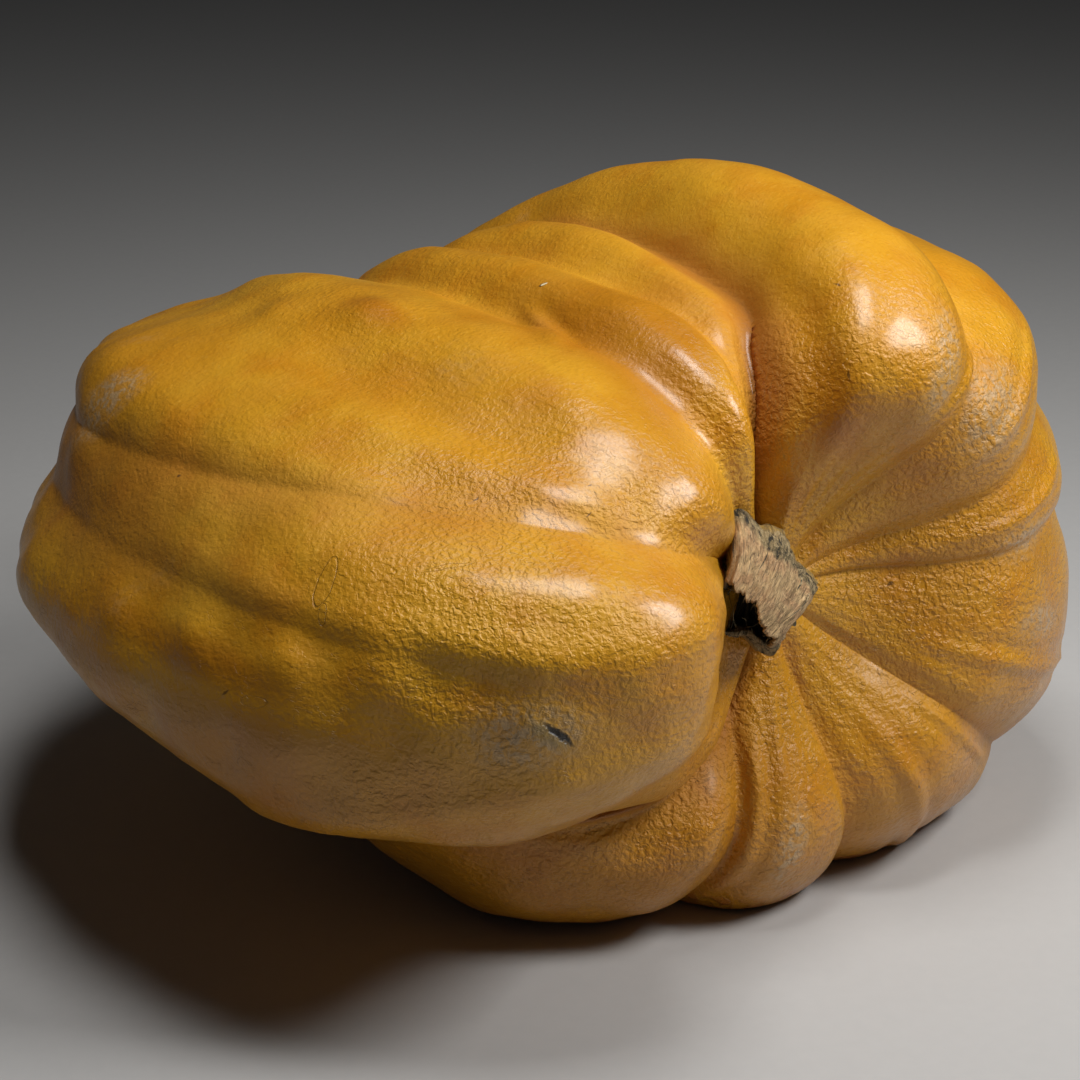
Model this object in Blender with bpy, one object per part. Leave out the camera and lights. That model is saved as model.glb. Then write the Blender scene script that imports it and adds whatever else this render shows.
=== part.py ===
"""A giant pumpkin lying on its side: one grown body and its dry, hollow stem.

Frame: -Y is the stem end, +X is to the right when the stem is looked at, +Z is up.
The origin is on the ground, under the middle of the body's box. The shape functions put
x = 0 and y = 0 on the stem's line, and main() moves the finished objects over the origin.
Metres, and degrees in the tables.

The body is a sphere whose points are moved to the grown shape. A point of the rind is
named by its azimuth round the fruit's axis (0 to the right, 90 up, 180 to the left,
270 down, seen from the stem) and by its polar angle (0 at the stem, 180 at the blossom
scar). Lobes set how far the rind reaches, and creases fold it in between them.
"""

import math

import bmesh
import bpy
import numpy as np
from mathutils import Vector

# ---- the fruit's axis: where the stem grows, and the blossom scar
STEM_POLE = (0.0, -0.38, 0.315)
BLOSSOM_POLE = (0.02, 0.30, 0.39)
AXIS_BEND = 3.0  # above 1, the axis keeps its rise for the blossom end

# ---- lobes: crest azimuth, reach from the axis, y of the widest section, and how far
# the lobe comes forward and goes back from y = 0
LOBES = {
    "right": (352, 0.52, -0.12, 0.50, 0.42),
    "upper_right": (25, 0.465, -0.16, 0.50, 0.42),
    "top_right": (50, 0.38, -0.20, 0.53, 0.26),
    "top_inner": (77, 0.33, -0.30, 0.52, 0.19),
    "top": (91, 0.26, -0.24, 0.51, 0.23),
    "top_left": (101, 0.25, -0.24, 0.51, 0.24),
    "saddle": (114, 0.27, -0.22, 0.50, 0.25),
    "upper_left": (143, 0.31, -0.12, 0.54, 0.37),
    "left": (168, 0.52, -0.06, 0.58, 0.42),
    "left_low": (187, 0.578, -0.05, 0.55, 0.44),
    "lower_left": (214, 0.395, -0.16, 0.47, 0.34),
    "bottom": (258, 0.374, -0.18, 0.49, 0.38),
    "lower_right": (300, 0.44, -0.14, 0.50, 0.40),
    "right_low": (328, 0.57, -0.12, 0.50, 0.42),
}
LOBE_BLEND = 26.0  # how tightly each lobe holds its own sector
FRONT_ROUND = (0.72, 0.85)  # the profile's exponents, in reach and in length
BACK_ROUND = (0.90, 1.0)

# ---- creases between the lobes: azimuth at the stem, at the widest section and at the
# scar; depth at the same three; half width; share of it that is a sharp fold; and lip,
# how far the side of greater azimuth stands over the other
CREASES = {
    "top_fold": ((103, 79, 49), (0.05, 0.060, 0.04), 10, 0.45, -0.012),
    "upper_right": ((44, 45, 30), (0.03, 0.034, 0.03), 10, 0.45, 0.0),
    "right_upper": ((15, 17, 12), (0.03, 0.032, 0.02), 8, 0.5, 0.0),
    "right": ((0, 2, 4), (0.03, 0.03, 0.02), 9, 0.7, 0.008),
    "right_lower": ((-42, -34, -30), (0.035, 0.045, 0.02), 9, 0.6, 0.0),
    "lower_right": ((-78, -76, -76), (0.03, 0.05, 0.02), 9, 0.6, -0.010),
    "bottom": ((242, 260, 266), (0.03, 0.035, 0.02), 8, 0.6, 0.004),
    "left_fold": ((250, 192, 208), (0.04, 0.045, -0.05), 13, 0.45, -0.012),
    "left_groove": ((180, 174, 193), (-0.045, 0.038, 0.030), 7, 0.25, 0.0),
    "upper_left": ((145, 164, 176), (0.03, 0.045, 0.04), 8, 0.35, 0.0),
    "saddle_left": ((130, 119, 132), (0.03, 0.028, 0.035), 10, 0.35, 0.006),
    "saddle_right": ((112, 96, 92), (0.004, 0.022, 0.03), 7, 0.5, 0.006),
}
LIP_RISE = 5.0  # degrees over which a lip rises
LIP_REACH = 20.0  # degrees over which it fades

# ---- the hollow round the stem, and the pit round the blossom scar
CAVITY_RADIUS = 0.175
CAVITY_POWER = 3.0
PIT_RADIUS = 0.12
PIT_POWER = 2.0
HOLLOW_FADE = 0.4  # cosine of the polar angle over which both fade towards the widest section

SETTLE = 0.008  # height over which the rind curves up from the flat spot it rests on

# ---- the body's mesh
BODY_SEGMENTS = 112
BODY_RINGS = 40
POLE_CROWDING = 0.11  # draws the rings towards the poles

# ---- stem: a ribbed root in the body, a short bent shaft and a hollow broken end
STEM_FOOT = (-0.028, -0.002, 0.010)  # the middle of its root, from the stem pole
STEM_ROOT_RADIUS = 0.058
STEM_ROOT_DEPTH = 0.020
STEM_NECK_RADIUS = 0.046
STEM_MOUTH_RADIUS = 0.044
STEM_RISE = (-0.022, -0.044, 0.010)  # where the shaft heads first, from its foot
STEM_TIP = (-0.064, -0.058, -0.010)  # the middle of the broken end, from its foot
STEM_RIBS = 5
STEM_RIB_TURN = -6.0
STEM_RIB_HEIGHTS = (0.16, 0.07)  # at the root and at the mouth, as shares of the radius
HOLLOW_RADIUS = 0.030
HOLLOW_DEPTH = 0.040
STEM_CLEARANCE = 0.0003  # between the root and the body
STEM_SEGMENTS = 40
STEM_RINGS = 30


def lobe_value(azimuth, column):
    """A lobe size blended round the fruit: reach (1), widest y (2), front (3) or back (4)."""
    total = np.zeros_like(azimuth)
    weight = np.zeros_like(azimuth)
    for lobe in LOBES.values():
        near = np.exp(LOBE_BLEND * (np.cos(azimuth - math.radians(lobe[0])) - 1.0))
        total = total + near * lobe[column]
        weight = weight + near
    return total / weight


def three_way(values, polar):
    """A value that runs smoothly through its stem, middle and scar values."""
    t = polar / math.pi
    stem, middle, scar = values
    return stem * (1 - t) * (1 - 2 * t) + middle * 4 * t * (1 - t) + scar * t * (2 * t - 1)


def crease_path(name, polar):
    return np.radians(three_way(CREASES[name][0], polar))


def crease_depth(azimuth, polar):
    """How far the rind is folded in at each point, all creases together."""
    depth = np.zeros_like(azimuth)
    for name, (_, depths, width, sharp, lip) in CREASES.items():
        off = azimuth - crease_path(name, polar)
        off = np.degrees(np.arctan2(np.sin(off), np.cos(off)))
        near = np.abs(off) / width
        fold = (1 - sharp) * np.exp(-(near**2)) + sharp * np.exp(-1.5 * near)
        depth = depth + np.maximum(three_way(depths, polar), 0.0) * fold
        depth = depth - lip * np.tanh(off / LIP_RISE) * np.exp(-((off / LIP_REACH) ** 2))
    return depth


def eased(value):
    """0 up to 0, 1 from 1, and a smooth rise in between."""
    t = np.clip(value, 0.0, 1.0)
    return t * t * (3 - 2 * t)


def settled(height):
    """Height above the ground: nothing on the flat spot, curving up all round it."""
    curve = (height + SETTLE) ** 2 / (4 * SETTLE)
    above = np.where(height > SETTLE, height, curve)
    return np.where(height < -SETTLE, 0.0, above)


def body_surface(azimuth, polar):
    """Points of the rind, x, y, z, for each azimuth and polar angle in radians."""
    azimuth, polar = np.broadcast_arrays(azimuth, polar)
    s = np.sin(polar)
    c = np.cos(polar)
    reach, widest, front, back = (lobe_value(azimuth, column) for column in (1, 2, 3, 4))
    ahead = c > 0
    depth = crease_depth(azimuth, polar) * np.sqrt(s)
    radial = reach * np.where(ahead, s ** FRONT_ROUND[0], s ** BACK_ROUND[0]) - depth * s
    radial = np.maximum(radial, 0.0)
    along = np.where(
        ahead,
        widest - (front + widest) * np.abs(c) ** FRONT_ROUND[1],
        widest + (back - widest) * np.abs(c) ** BACK_ROUND[1],
    )
    along = along + depth * c
    cavity = (front + STEM_POLE[1]) * np.exp(-((radial / CAVITY_RADIUS) ** CAVITY_POWER))
    pit = (BLOSSOM_POLE[1] - back) * np.exp(-((radial / PIT_RADIUS) ** PIT_POWER))
    along = along + cavity * eased(c / HOLLOW_FADE) + pit * eased(-c / HOLLOW_FADE)
    share = ((1 - c) / 2) ** AXIS_BEND
    x = STEM_POLE[0] + (BLOSSOM_POLE[0] - STEM_POLE[0]) * share + radial * np.cos(azimuth)
    z = STEM_POLE[2] + (BLOSSOM_POLE[2] - STEM_POLE[2]) * share + radial * np.sin(azimuth)
    return np.stack([x, along, settled(z)], axis=-1)


def remove_startup_objects():
    for obj in list(bpy.data.objects):
        bpy.data.objects.remove(obj, do_unlink=True)


def make_collection(name):
    collection = bpy.data.collections.new(name)
    bpy.context.scene.collection.children.link(collection)
    return collection


def make_material(name, colour, roughness):
    material = bpy.data.materials.new(name)
    material.use_nodes = True
    shader = material.node_tree.nodes["Principled BSDF"]
    shader.inputs["Base Color"].default_value = (*colour, 1.0)
    shader.inputs["Roughness"].default_value = roughness
    shader.inputs["Metallic"].default_value = 0.0
    return material


def sphere_moved_to(name, segments, rings, place, collection):
    """A sphere object whose points are moved by place(azimuth, fraction from pole to pole)."""
    bm = bmesh.new()
    bmesh.ops.create_uvsphere(bm, u_segments=segments, v_segments=rings, radius=1.0)
    unit = np.array([vertex.co for vertex in bm.verts])
    azimuth = np.arctan2(unit[:, 1], unit[:, 0])
    fraction = np.arccos(np.clip(unit[:, 2], -1.0, 1.0)) / math.pi
    for vertex, point in zip(bm.verts, place(azimuth, fraction)):
        vertex.co = Vector(point)
    bmesh.ops.remove_doubles(bm, verts=bm.verts, dist=1e-5)
    bmesh.ops.triangulate(bm, faces=bm.faces)
    bmesh.ops.recalc_face_normals(bm, faces=bm.faces)
    mesh = bpy.data.meshes.new(name)
    bm.to_mesh(mesh)
    bm.free()
    mesh.shade_smooth()
    obj = bpy.data.objects.new(name, mesh)
    collection.objects.link(obj)
    return obj


def place_body(azimuth, fraction):
    crowded = fraction - POLE_CROWDING * np.sin(2 * math.pi * fraction)
    return body_surface(azimuth, math.pi * crowded)


def body_middle():
    """The middle of the body's box, seen from above. The origin lies under it."""
    azimuth, fraction = np.meshgrid(
        np.linspace(0.0, 2 * math.pi, BODY_SEGMENTS, endpoint=False),
        np.linspace(0.0, 1.0, BODY_RINGS + 1),
    )
    points = place_body(azimuth, fraction).reshape(-1, 3)
    middle = (points.min(axis=0) + points.max(axis=0)) / 2
    return middle[:2]


def stem_profile(grow):
    """(radius, distance along the shaft) from the root's middle to the hollow's floor."""
    length = np.linalg.norm(STEM_TIP)
    root = -STEM_ROOT_DEPTH - grow
    return np.array(
        [
            (0.0, root),
            (STEM_ROOT_RADIUS + grow, root),
            (STEM_ROOT_RADIUS + grow, 0.1 * length),
            (STEM_NECK_RADIUS + grow, 0.45 * length),
            (STEM_MOUTH_RADIUS + grow, 0.95 * length),
            (0.92 * STEM_MOUTH_RADIUS + grow, length + grow),
            (HOLLOW_RADIUS, length + grow),
            (0.7 * HOLLOW_RADIUS, length - HOLLOW_DEPTH),
            (0.0, length - HOLLOW_DEPTH - grow),
        ]
    )


def stem_line(distance):
    """Centre and heading of the shaft, a bent line from the pole to the tip."""
    rise = np.array(STEM_RISE)
    tip = np.array(STEM_TIP)
    u = (np.maximum(distance, 0.0) / np.linalg.norm(tip))[:, None]
    foot = np.array(STEM_POLE) + np.array(STEM_FOOT)
    centre = foot + 2 * u * (1 - u) * rise + u**2 * tip
    heading = (1 - u) * rise + u * (tip - rise)
    heading = heading / np.linalg.norm(heading, axis=1, keepdims=True)
    return centre + np.minimum(distance, 0.0)[:, None] * heading, heading


def place_stem(azimuth, fraction, grow=0.0):
    """The turned profile with its ribs, swept along the bent line."""
    profile = stem_profile(grow)
    run = np.concatenate([[0.0], np.cumsum(np.hypot(*np.diff(stem_profile(0.0), axis=0).T))])
    radius = np.interp(fraction * run[-1], run, profile[:, 0])
    distance = np.interp(fraction * run[-1], run, profile[:, 1])
    turn = STEM_RIBS * (azimuth - math.radians(STEM_RIB_TURN))
    rib_height = np.interp(distance, (0.0, np.linalg.norm(STEM_TIP)), STEM_RIB_HEIGHTS)
    radius = radius * (1.0 + rib_height * np.cos(turn))
    centre, heading = stem_line(distance)
    across = np.cross((0.0, 0.0, 1.0), heading)
    across = across / np.linalg.norm(across, axis=1, keepdims=True)
    over = np.cross(heading, across)
    ring = across * np.cos(azimuth)[:, None] + over * np.sin(azimuth)[:, None]
    return centre + radius[:, None] * ring


def place_socket(azimuth, fraction):
    return place_stem(azimuth, fraction, STEM_CLEARANCE)


def cut_socket(body, cutters):
    """Cuts the socket of the stem's root out of the body, a clearance larger all round."""
    cutter = sphere_moved_to("socket_cutter", STEM_SEGMENTS, STEM_RINGS, place_socket, cutters)
    cutter.display_type = "WIRE"
    cutter.hide_render = True
    cut = body.modifiers.new("socket", "BOOLEAN")
    cut.operation = "DIFFERENCE"
    cut.object = cutter


def main():
    remove_startup_objects()
    pumpkin = make_collection("pumpkin")
    cutters = make_collection("cutters")
    body = sphere_moved_to("fruit_body", BODY_SEGMENTS, BODY_RINGS, place_body, pumpkin)
    body.data.materials.append(make_material("rind", (0.62, 0.30, 0.035), 0.45))
    stem = sphere_moved_to("stem", STEM_SEGMENTS, STEM_RINGS, place_stem, pumpkin)
    stem.data.materials.append(make_material("dry_stem", (0.32, 0.25, 0.17), 0.8))
    cut_socket(body, cutters)
    middle = body_middle()
    for obj in bpy.data.objects:
        obj.location = (-middle[0], -middle[1], 0.0)


if __name__ == "__main__":
    main()
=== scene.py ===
"""The looks of a giant pumpkin lying on its side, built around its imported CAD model.

The frame is the CAD's: -Y is the stem end, +X is to the right when the stem is looked at,
+Z is up, and z = 0 is the ground. Metres, and degrees in the tables. A point of the rind
is named by its azimuth round the fruit's axis (0 to the right, 90 up, 180 to the left, 270
down, seen from the stem) and by its polar angle (0 at the stem, 180 at the blossom scar).
"""

import math

import bmesh
import bpy
import numpy as np
from mathutils import Matrix, Vector


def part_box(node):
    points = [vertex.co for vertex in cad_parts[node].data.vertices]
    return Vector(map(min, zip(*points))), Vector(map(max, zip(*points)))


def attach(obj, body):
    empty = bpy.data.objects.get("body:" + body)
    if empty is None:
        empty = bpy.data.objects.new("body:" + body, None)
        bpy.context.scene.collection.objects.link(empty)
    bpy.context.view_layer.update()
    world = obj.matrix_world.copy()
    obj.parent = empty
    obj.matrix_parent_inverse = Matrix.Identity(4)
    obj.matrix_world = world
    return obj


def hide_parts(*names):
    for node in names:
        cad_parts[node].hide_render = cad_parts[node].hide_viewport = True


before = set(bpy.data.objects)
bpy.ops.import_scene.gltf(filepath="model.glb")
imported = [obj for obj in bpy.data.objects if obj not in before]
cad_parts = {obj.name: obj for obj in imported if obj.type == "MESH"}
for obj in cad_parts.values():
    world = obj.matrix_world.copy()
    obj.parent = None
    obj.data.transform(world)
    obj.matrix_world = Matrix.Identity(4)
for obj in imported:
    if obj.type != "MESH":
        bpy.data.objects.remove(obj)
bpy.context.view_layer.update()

# ---- the fruit's axis: where the stem grows, and the blossom scar
STEM_POLE = (0.0, -0.38, 0.315)
BLOSSOM_POLE = (0.02, 0.30, 0.39)
AXIS_BEND = 3.0  # above 1, the axis keeps its rise for the blossom end

# ---- lobes: crest azimuth, reach from the axis, y of the widest section, and how far
# the lobe comes forward and goes back from y = 0
LOBES = {
    "right": (352, 0.52, -0.12, 0.50, 0.42),
    "upper_right": (25, 0.465, -0.16, 0.50, 0.42),
    "top_right": (50, 0.38, -0.20, 0.53, 0.26),
    "top_inner": (77, 0.33, -0.30, 0.52, 0.19),
    "top": (91, 0.26, -0.24, 0.51, 0.23),
    "top_left": (101, 0.25, -0.24, 0.51, 0.24),
    "saddle": (114, 0.27, -0.22, 0.50, 0.25),
    "upper_left": (143, 0.31, -0.12, 0.54, 0.37),
    "left": (168, 0.52, -0.06, 0.58, 0.42),
    "left_low": (187, 0.578, -0.05, 0.55, 0.44),
    "lower_left": (214, 0.395, -0.16, 0.47, 0.34),
    "bottom": (258, 0.374, -0.18, 0.49, 0.38),
    "lower_right": (300, 0.44, -0.14, 0.50, 0.40),
    "right_low": (328, 0.57, -0.12, 0.50, 0.42),
}
LOBE_BLEND = 26.0  # how tightly each lobe holds its own sector
FRONT_ROUND = (0.72, 0.85)  # the profile's exponents, in reach and in length
BACK_ROUND = (0.90, 1.0)

# ---- creases between the lobes: azimuth at the stem, at the widest section and at the
# scar; depth at the same three; half width; share of it that is a sharp fold; and lip,
# how far the side of greater azimuth stands over the other
CREASES = {
    "top_fold": ((103, 79, 49), (0.05, 0.060, 0.04), 7, 0.6, -0.015),
    "upper_right": ((44, 45, 30), (0.03, 0.034, 0.03), 10, 0.45, 0.0),
    "right_upper": ((15, 17, 12), (0.03, 0.032, 0.02), 8, 0.5, 0.0),
    "right": ((0, 2, 4), (0.03, 0.03, 0.02), 9, 0.7, 0.008),
    "right_lower": ((-42, -34, -30), (0.035, 0.045, 0.02), 9, 0.6, 0.0),
    "lower_right": ((-78, -76, -76), (0.03, 0.05, 0.02), 9, 0.6, -0.010),
    "bottom": ((242, 260, 266), (0.03, 0.035, 0.02), 8, 0.6, 0.004),
    "left_fold": ((250, 192, 208), (0.04, 0.045, -0.05), 11, 0.6, -0.015),
    "left_groove": ((180, 174, 193), (-0.045, 0.038, 0.030), 7, 0.25, 0.0),
    "upper_left": ((145, 164, 176), (0.03, 0.045, 0.04), 8, 0.35, 0.0),
    "saddle_left": ((130, 119, 132), (0.03, 0.028, 0.035), 10, 0.35, 0.006),
    "saddle_right": ((112, 96, 92), (0.004, 0.022, 0.03), 7, 0.5, 0.006),
}
LIP_RISE = 3.0  # degrees over which a lip rises
LIP_REACH = 20.0  # degrees over which it fades

# ---- the hollow round the stem, and the pit round the blossom scar
CAVITY_RADIUS = 0.175
CAVITY_POWER = 3.0
PIT_RADIUS = 0.12
PIT_POWER = 2.0
HOLLOW_FADE = 0.4  # cosine of the polar angle over which both fade
SETTLE = 0.008  # height over which the rind curves up from the flat spot it rests on

# ---- small folds: azimuth at their start and end, polar angle at the same, depth and half
# width in metres
SMALL_FOLDS = {
    "top_fold_bottom": ((99, 80), (12, 90), 0.0080, 0.0090),
    "left_fold_bottom": ((232, 196), (16, 80), 0.0080, 0.0060),
    "bottom_seam": ((249, 257), (7, 62), 0.0045, 0.006),
    "shoulder_fold": ((57, 47), (22, 46), 0.0045, 0.005),
    "shoulder_seam": ((33, 30), (14, 60), 0.0030, 0.007),
    "right_seam": ((8, 10), (10, 48), 0.0025, 0.006),
    "side_seam": ((335, 338), (8, 55), 0.0035, 0.007),
    "lower_seam": ((299, 300), (8, 66), 0.0035, 0.008),
    "low_seam_two": ((314, 319), (8, 40), 0.0025, 0.005),
    "flank_seam": ((150, 152), (28, 104), 0.0030, 0.016),
    "waist_seam": ((170, 172), (20, 96), 0.0035, 0.016),
    "under_seam": ((186, 196), (16, 80), 0.0040, 0.014),
    "saddle_mark": ((124, 113), (84, 104), 0.0040, 0.007),
    "top_mark": ((103, 99), (56, 92), 0.0035, 0.009),
    "back_seam": ((75, 62), (112, 150), 0.0040, 0.010),
    "back_seam_two": ((20, 24), (110, 150), 0.0040, 0.010),
    "back_seam_three": ((200, 205), (100, 150), 0.0040, 0.010),
}

# ---- dents: azimuth, polar angle, radius and depth in metres; a lump has a depth below 0
DENTS = {
    "top_dimple": (143, 111, 0.026, 0.0050),
    "scar_side_pit": (135, 101, 0.024, 0.0080),
    "left_dent_far": (178, 88, 0.026, 0.0085),
    "left_dent_back": (177, 76, 0.026, 0.0090),
    "left_dent_middle": (176, 64, 0.024, 0.0085),
    "left_dent_front": (175, 53, 0.026, 0.0080),
    "left_lump_back": (186, 82, 0.024, -0.0070),
    "left_lump_middle": (187, 70, 0.024, -0.0070),
    "left_lump_front": (187, 58, 0.024, -0.0065),
    "under_dent": (198, 64, 0.030, 0.0060),
    "under_dent_back": (196, 84, 0.028, 0.0055),
    "flank_dent": (160, 72, 0.050, 0.0035),
    "shoulder_dent": (66, 30, 0.030, 0.0040),
}

# ---- lumps all over the rind: size, height, what the low left side adds to it, and seed
LUMPS = (
    (0.13, 0.0045, 0.0030, 11),
    (0.06, 0.0022, 0.0018, 12),
    (0.025, 0.0008, 0.0008, 13),
)
LOW_SIDE_AZIMUTH = 215.0
LOW_SIDE_SPREAD = 50.0
PLEATS = 38  # fine pleats that run out from the stem
PLEAT_HEIGHT = 0.0012
PLEAT_END = 22.0  # polar angle over which they fade

# ---- marks on the rind: azimuth, polar angle, turn from along the fruit to round it, and
# half length and half width in metres
SLIT = (180, 33, -40, 0.0190, 0.0036)
SLIT_CORK = (180, 34, -40, 0.0300, 0.0130)
SEED = (108, 102, 60, 0.0050, 0.0022)
RINGS = {
    "long_ring": (168, 64, 100, 0.023, 0.0075),
    "small_ring": (171, 62, 110, 0.009, 0.0040),
    "low_ring": (180, 66, 10, 0.014, 0.0050),
    "front_scratch": (163, 53, 35, 0.020, 0.0022),
    "right_scratch": (355, 30, 60, 0.014, 0.0030),
    "under_scratch": (243, 34, 8, 0.020, 0.0025),
}
# darker orange-brown patches of painted shade: along the top fold, in the left groove, in the pit
# beside the scar and on the top saddle; on the low left lobe they are painted shade and also a browner
# skin
SHADE_PATCHES = {
    "saddle": (116, 84, 0, 0.210, 0.130),
    "left_low": (187, 68, 0, 0.270, 0.120),
    "top_right_flank": (87, 36, 10, 0.110, 0.036),
    "left_groove": (178, 76, 0, 0.170, 0.022),
    "scar_side": (134, 101, 0, 0.050, 0.020),
}
HAZE = {
    "front_left": (180, 36, 10, 0.060, 0.036),
    "far_left": (163, 112, 60, 0.070, 0.035),
    "shoulder": (38, 30, 0, 0.075, 0.050),
    "shoulder_high": (62, 36, 0, 0.070, 0.022),
    "right": (2, 24, 0, 0.060, 0.022),
    "right_low": (345, 26, 0, 0.055, 0.020),
    "bottom": (262, 30, 0, 0.060, 0.020),
    "back": (40, 140, 0, 0.080, 0.045),
    "back_left": (205, 120, 0, 0.080, 0.040),
}
SPECKS = {
    "left_dot": (165, 90, 0, 0.0035, 0.0028),
    "left_mark": (180, 70, 30, 0.0060, 0.0022),
    "fold_speck": (84, 42, 0, 0.0070, 0.0014),
    "fold_speck_two": (78, 66, 0, 0.0040, 0.0014),
    "stem_speck": (353, 8, 30, 0.0035, 0.0028),
    "saddle_speck": (97, 76, 0, 0.0030, 0.0018),
    "right_speck": (325, 28, 0, 0.0030, 0.0030),
    "low_speck": (300, 24, 0, 0.0028, 0.0022),
    "flank_speck": (155, 60, 70, 0.0040, 0.0010),
    "flank_speck_two": (152, 47, 80, 0.0036, 0.0010),
    "flank_speck_three": (147, 52, 70, 0.0036, 0.0010),
}

MARK_THICKNESS = 0.03  # how far into the rind a mark is still counted

# ---- colours, linear
SKIN = {
    "ochre": (0.60, 0.262, 0.010),
    "yellow": (0.68, 0.335, 0.017),
    "orange": (0.55, 0.205, 0.005),
    "streak": (0.50, 0.20, 0.008),
    "pore": (0.46, 0.17, 0.004),
    "grain": (0.74, 0.42, 0.055),
    # deep: the darker orange-brown of the painted shade, low down and in the shade patches
    "deep": (0.39, 0.128, 0.002),
    # crease: darker orange-brown painted into the folds, as painted shade
    "crease": (0.33, 0.105, 0.002),
    "haze": (0.50, 0.345, 0.185),
    "cork": (0.36, 0.245, 0.075),
    # cut: near black, painted shade inside the open slit
    "cut": (0.020, 0.013, 0.006),
    "ring": (0.30, 0.13, 0.012),
    "speck": (0.13, 0.055, 0.008),
    "seed": (0.85, 0.70, 0.42),
    "chip": (0.52, 0.17, 0.025),
}
DRY = {
    "dark_bark": (0.150, 0.108, 0.042),
    "light_bark": (0.33, 0.240, 0.110),
    "mottle": (0.45, 0.34, 0.18),
    # crack: near black, painted shade in the bark's cracks
    "crack": (0.022, 0.020, 0.014),
    "pale_wood": (0.60, 0.395, 0.185),
    "wood": (0.50, 0.290, 0.135),
    "dark_fibre": (0.15, 0.095, 0.042),
    "light_fibre": (0.70, 0.52, 0.30),
    "light_cork": (0.44, 0.27, 0.055),
    "dark_cork": (0.30, 0.20, 0.075),
    # hollow: near black, painted shade inside the hollow stem, with lighter fibre streaks
    "hollow": (0.008, 0.007, 0.003),
    "hollow_fibre": (0.15, 0.125, 0.055),
    "dark_strand": (0.045, 0.038, 0.018),
    "light_strand": (0.36, 0.28, 0.15),
}
FLOOR_COLOUR = (0.50, 0.49, 0.475)
FLOOR_DARKER = tuple(0.94 * channel for channel in FLOOR_COLOUR)

# ---- the body's mesh: lines along the fruit draw together in the creases
LINES_AROUND = 440
LINES_ALONG = 224
POLE_CROWDING = 0.11
CREASE_CROWDING = 1.4
CROWDING_WIDTH = 5.0
LINES_START = -60.0  # an azimuth that no crease crosses

# ---- the dry stem: its foot from the stem pole, its first heading, and its tip from its
# foot. It is a hollow shell, torn off, which reaches furthest at its upper right. Azimuths
# are round the shaft, 0 to the right and 90 up.
STEM_FOOT = (-0.040, -0.003, 0.019)
STEM_RISE = (-0.022, -0.044, 0.010)
STEM_TIP = (-0.062, -0.056, -0.014)
STEM_ROOT_DEPTH = 0.22  # how far it goes on below its foot, as a share of the shaft
STEM_ROOT_RADIUS = 0.047
STEM_MOUTH_RADIUS = 0.034
STEM_RIBS = {  # how far each rib stands out at the foot, by azimuth
    104: 0.046, 60: 0.010, -6: 0.020, -72: 0.026, 172: 0.016, 232: 0.016,
}
STEM_RIB_WIDTH = 17.0
SHELL_MIDDLE = 45.0  # azimuth of the middle of the long side of the shell
SHELL_REACH = {  # share of the shaft that the shell reaches, by azimuth
    0: 1.00, 30: 0.94, 60: 0.88, 90: 0.82, 120: 0.78, 150: 0.72,
    180: 0.62, 225: 0.50, 270: 0.46, 300: 0.55, 330: 0.93,
}
SHELL_WALL = 0.004
SHELL_FLOOR = 0.06  # share of the shaft where the hollow ends
STEM_AROUND = 264
STEM_OUTSIDE_ROWS = 84
STEM_INSIDE_ROWS = 40
FIBRES = 64
FIBRE_POINTS = 9
FIBRE_SIDES = 5
CURL_PLACE = (-22.0, 0.66, 0.034)  # azimuth, share of the shaft, and distance from its middle
CURL_TURN = (-30.0, 290.0)  # degrees at the start and end of the curled bark
CURL_RADIUS = (0.0050, 0.0030)
CURL_THICKNESS = (0.0026, 0.0014)
CURL_POINTS = 24
CURL_FACING = -40.0  # azimuth that the flat of the curl faces
CURL_SIDES = 6

CAMERA_TARGET = (0.058, 0.079, 0.247)
CAMERA_AZIMUTH = -40.0
CAMERA_ELEVATION = 20.0
CAMERA_DISTANCE = 2.75
CAMERA_FIELD = 23.0

# ---- soft lights, aimed as the camera is: azimuth, elevation, distance, and power in watts
SOFTBOXES = {
    "key": (28.0, 44.0, 2.6, 47.0),
    "top": (-26.0, 78.0, 2.4, 31.0),
}
SOFTBOX_SIDE = 0.8
WORLD_COLOUR = (0.95, 0.97, 1.0, 1.0)
WORLD_STRENGTH = 0.018
FLOOR_SIDE = 14.0
FLOOR_DROP = 0.0005  # keeps the floor just under the flat spot


# ------------------------------------------------------------------ the grown shape


def lobe_value(azimuth, column):
    """A lobe size blended round the fruit: reach (1), widest y (2), front (3) or back (4)."""
    total = np.zeros_like(azimuth)
    weight = np.zeros_like(azimuth)
    for lobe in LOBES.values():
        near = np.exp(LOBE_BLEND * (np.cos(azimuth - math.radians(lobe[0])) - 1.0))
        total = total + near * lobe[column]
        weight = weight + near
    return total / weight


def three_way(values, polar):
    """A value that runs smoothly through its stem, middle and scar values."""
    t = polar / math.pi
    stem, middle, scar = values
    return stem * (1 - t) * (1 - 2 * t) + middle * 4 * t * (1 - t) + scar * t * (2 * t - 1)


def degrees_off(azimuth, path):
    """How far an azimuth lies past a path, in degrees from -180 to 180."""
    off = azimuth - path
    return np.degrees(np.arctan2(np.sin(off), np.cos(off)))


def crease_path(name, polar):
    return np.radians(three_way(CREASES[name][0], polar))


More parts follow.
